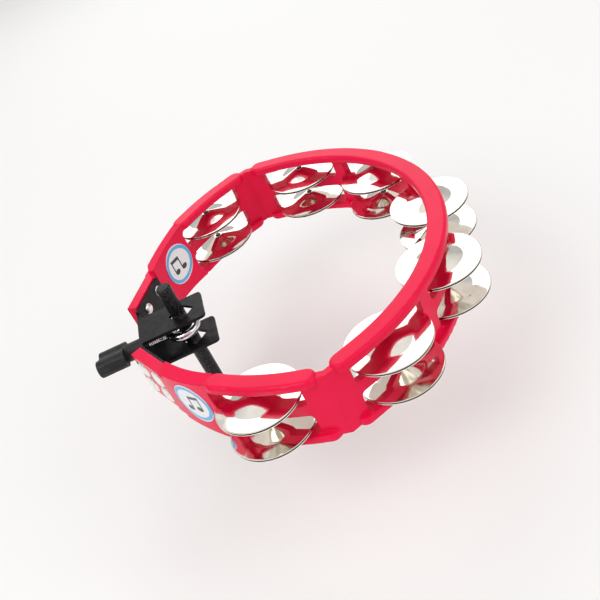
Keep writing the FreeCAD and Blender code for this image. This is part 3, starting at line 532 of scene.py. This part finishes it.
# %% Join the eyebolt
take(eyebolt)
thread.select_set(True)
core.select_set(True)
bpy.ops.object.join()
eyebolt.name = "forged_eyebolt"
eyebolt.data.materials.clear()
eyebolt.data.materials.append(zinc)
smooth(eyebolt, 40)
settle(eyebolt, "zinc", "eyebolt")
print("eyebolt faces", faces_of(eyebolt))

# %% [markdown]
# The bracket, the knob, the washer and the rod already have the right shape, but a real edge is never
# sharp: a mould leaves a small radius and a folded sheet has soft corners, and those edges catch the
# light. A merged copy of each gets its sharp edges rounded by a Bevel modifier. The knob's grooves leave
# very short edges, so its rounding is held to what they can take.

# %% Softened copies
def softened_copy(node, name, width, material, slot, sharp=35, segments=2, clamp=False):
    """A copy of a designed piece with its triangles merged and its sharp edges rounded."""
    piece = copy_of(frame["nodes"][node], name)
    del piece["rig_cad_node"]
    piece.parent = None
    edit(piece)
    bpy.ops.mesh.select_all(action="SELECT")
    bpy.ops.mesh.remove_doubles(threshold=0.004 * MM)
    bpy.ops.mesh.customdata_custom_splitnormals_clear()
    bpy.ops.mesh.dissolve_limited(angle_limit=math.radians(0.6))
    leave_edit()
    apply_modifier(piece, "BEVEL", width=width * MM, segments=segments, limit_method="ANGLE",
                   angle_limit=math.radians(sharp), use_clamp_overlap=clamp, miter_outer="MITER_ARC")
    smooth(piece, 50)
    apply_modifier(piece, "WEIGHTED_NORMAL", keep_sharp=True, weight=80)
    piece.data.materials.clear()
    piece.data.materials.append(material)
    settle(piece, slot, node)
    print(name, "faces", faces_of(piece))
    return piece


softened_copy("bracket", "folded_bracket", 0.3, black_paint, "black_paint")
softened_copy("wing_knob", "knob_moulding", 0.35, knob_plastic, "knob_plastic", clamp=True)
softened_copy("washer", "plain_washer", 0.15, zinc, "zinc")
softened_copy("rod", "mounting_rod", 0.1, rod_coat, "rod_finish")

# %% [markdown]
# The badges are thin printed labels: a white field with a light blue border. The print is measured from
# each badge's own middle and axis, with a Mapping node, so it needs no image. Inside is a plain pair of
# musical notes, drawn with simple discs and bars.

# %% Badge print
BORDER_RADIUS = 13.3
FIELD_RADIUS = 10.9
BADGE_TURN = math.radians(10.7)


def number(material, operation, first, second=0.0):
    """One step of arithmetic on patterns or plain numbers."""
    node = material.node_tree.nodes.new("ShaderNodeMath")
    node.operation = operation
    for socket, value in zip(node.inputs, (first, second)):
        if isinstance(value, (int, float)):
            socket.default_value = value
        else:
            link(material, value, socket)
    return node.outputs[0]


def disc(material, across, up, centre, radii):
    """1 inside an ellipse, 0 outside."""
    x = number(material, "DIVIDE", number(material, "SUBTRACT", across, centre[0]), radii[0])
    y = number(material, "DIVIDE", number(material, "SUBTRACT", up, centre[1]), radii[1])
    total = number(material, "ADD", number(material, "MULTIPLY", x, x), number(material, "MULTIPLY", y, y))
    return number(material, "LESS_THAN", total, 1.0)


def bar(material, across, up, centre, halves, slope=0.0):
    """1 inside an upright rectangle, whose level edges may climb by slope."""
    x = number(material, "SUBTRACT", across, centre[0])
    climb = number(material, "MULTIPLY", x, slope)
    y = number(material, "SUBTRACT", number(material, "SUBTRACT", up, centre[1]), climb)
    inside = number(material, "LESS_THAN", number(material, "ABSOLUTE", x), halves[0])
    level = number(material, "LESS_THAN", number(material, "ABSOLUTE", y), halves[1])
    return number(material, "MULTIPLY", inside, level)


def badge_finish(name, node, bearing):
    """White label with a blue border and two joined notes, about the middle of this badge."""
    material = new_finish(name, (0.9, 0.9, 0.9), roughness=0.32, Coat_Weight=0.4, Coat_Roughness=0.1)
    middle = middle_of(node)
    place = add_node(material, "ShaderNodeTexCoord")
    mapping = add_node(material, "ShaderNodeMapping", Rotation=(0, 0, bearing))
    mapping.vector_type = "TEXTURE"
    mapping.inputs["Location"].default_value = middle
    mapping.inputs["Scale"].default_value = (MM, MM, MM)
    parts = add_node(material, "ShaderNodeSeparateXYZ")
    link(material, place.outputs["Object"], mapping.inputs["Vector"])
    link(material, mapping.outputs["Vector"], parts.inputs["Vector"])
    across, up = parts.outputs["X"], parts.outputs["Z"]
    border = disc(material, across, up, (0, 0), (BORDER_RADIUS, BORDER_RADIUS))
    field = disc(material, across, up, (0, 0), (FIELD_RADIUS, FIELD_RADIUS))
    heads = [disc(material, across, up, centre, (2.5, 1.9)) for centre in ((-3.6, -4.4), (4.0, -3.4))]
    stems = [bar(material, across, up, centre, (0.5, 4.8)) for centre in ((-1.6, 0.4), (6.0, 1.4))]
    beam = bar(material, across, up, (2.2, 5.0), (4.3, 1.2), slope=0.13)
    marks = heads + stems + [beam]
    note = marks[0]
    for mark in marks[1:]:
        note = number(material, "MAXIMUM", note, mark)
    paper = blend_colours(material, border, (0.80, 0.84, 0.88), (0.10, 0.42, 0.78))
    paper = blend_colours(material, field, paper, (0.86, 0.87, 0.88))
    paper = blend_colours(material, note, paper, (0.012, 0.012, 0.016))
    link(material, paper, shader_of(material).inputs["Base Color"])
    vary_roughness(material, 400, 0.25, 0.42)
    add_grain(material, noise(material, 900), 0.00002, 0.3)
    return material


for node, sign in (("badge_near", -1), ("badge_far", 1)):
    side = "near" if sign < 0 else "far"
    along = along_panel(side)
    heading = math.atan2(along.y, along.x) + (math.pi if sign < 0 else 0) + sign * BADGE_TURN
    cad_badge = frame["nodes"][node]
    cad_badge.data.materials.clear()
    cad_badge.data.materials.append(badge_finish(node + "_print", node, heading))
print("badges printed")

# %% [markdown]
# The ring, the pins and the brass insert keep the design's own shape. The ring's rims are rounded there
# already, and the pins and the insert are plain turned metal, so a finish is all that they need.

# %% Finishes for the pieces kept as designed
for node, piece in frame["nodes"].items():
    finish = {"frame": red, "threaded_insert": brass}.get(node, pin_steel if "pin" in node else None)
    if finish:
        piece.data.materials.clear()
        piece.data.materials.append(finish)
print("ring, pins and insert finished")

# %% [markdown]
# A plain pale floor and soft light from large panels show shape and gloss without hard shadows. The
# plated jingles mirror whatever surrounds them, so the surroundings are bright above and a little
# darker towards the horizon, which gives the metal its contrast.

# %% Floor
FLOOR_SIZE = 6.0
FLOOR_GAP = 0.2
RING_MIDDLE = Vector((0.07, 0, 0.09))
bpy.ops.object.select_all(action="DESELECT")
bpy.ops.mesh.primitive_plane_add(size=FLOOR_SIZE, location=(RING_MIDDLE.x, 0, cad_low.z - FLOOR_GAP * MM))
floor = bpy.context.active_object
floor.name = "floor"
floor_paint = new_finish("pale_floor", (0.9, 0.9, 0.9), roughness=0.7, Specular_IOR_Level=0.1)
floor.data.materials.append(floor_paint)

# %% Light
HORIZON_GREY = 0.6
SKY_STRENGTH = 0.93
world = bpy.data.worlds.new("studio")
bpy.context.scene.world = world
world.use_nodes = True
sky = world.node_tree
direction = sky.nodes.new("ShaderNodeTexCoord")
height = sky.nodes.new("ShaderNodeSeparateXYZ")
shade = sky.nodes.new("ShaderNodeValToRGB")
shade.color_ramp.elements[0].position = 0.5
shade.color_ramp.elements[0].color = (HORIZON_GREY, HORIZON_GREY, HORIZON_GREY, 1)
shade.color_ramp.elements[1].position = 0.85
shade.color_ramp.elements[1].color = (1, 0.985, 0.96, 1)
sky.links.new(direction.outputs["Generated"], height.inputs["Vector"])
sky.links.new(height.outputs["Z"], shade.inputs["Fac"])
sky.links.new(shade.outputs["Color"], sky.nodes["Background"].inputs["Color"])
sky.nodes["Background"].inputs["Strength"].default_value = SKY_STRENGTH


def add_panel(name, place, size, watts):
    """A square soft light that faces the tambourine."""
    light = bpy.data.lights.new(name, "AREA")
    light.shape = "SQUARE"
    light.size = size
    light.energy = watts
    lamp = bpy.data.objects.new(name, light)
    bpy.context.scene.collection.objects.link(lamp)
    lamp.location = place
    lamp.rotation_euler = (RING_MIDDLE - Vector(place)).to_track_quat("-Z", "Y").to_euler()


add_panel("key_panel", (-0.7, -0.7, 1.2), 0.9, 6)
add_panel("fill_panel", (1.2, -0.6, 0.8), 1.1, 4)
add_panel("back_panel", (0.2, 1.3, 1.0), 1.1, 4.5)
bpy.context.scene.view_settings.view_transform = "Standard"
print("lights", len(bpy.data.lights))

# %% [markdown]
# The camera stands in front of the clamp, about 34 degrees above the ring, and is tipped sideways, so the
# ring seems to hang in the picture. Its place is worked out from its target, distance and three angles.

# %% Camera
TARGET = Vector((0.07407, -0.03859, 0.101))
DISTANCE = 0.51314
AZIMUTH, ELEVATION, ROLL = 0.0458, 0.6004, -0.4582
LENS = 52.2435
SENSOR = 36
level = math.cos(ELEVATION)
back = Vector((math.sin(AZIMUTH) * level, -math.cos(AZIMUTH) * level, math.sin(ELEVATION)))
right = (-back).cross(Vector((0, 0, 1))).normalized()
upward = right.cross(-back)
across = right * math.cos(ROLL) + upward * math.sin(ROLL)
above = upward * math.cos(ROLL) - right * math.sin(ROLL)
turned = Matrix((across, above, back)).transposed()
camera_data = bpy.data.cameras.new("camera")
camera_data.lens = LENS
camera_data.sensor_width = SENSOR
camera_data.clip_start = 0.01
camera = bpy.data.objects.new("camera", camera_data)
bpy.context.scene.collection.objects.link(camera)
camera.matrix_world = Matrix.Translation(TARGET + back * DISTANCE) @ turned.to_4x4()
bpy.context.scene.camera = camera
print("camera at", tuple(round(value, 3) for value in camera.location))
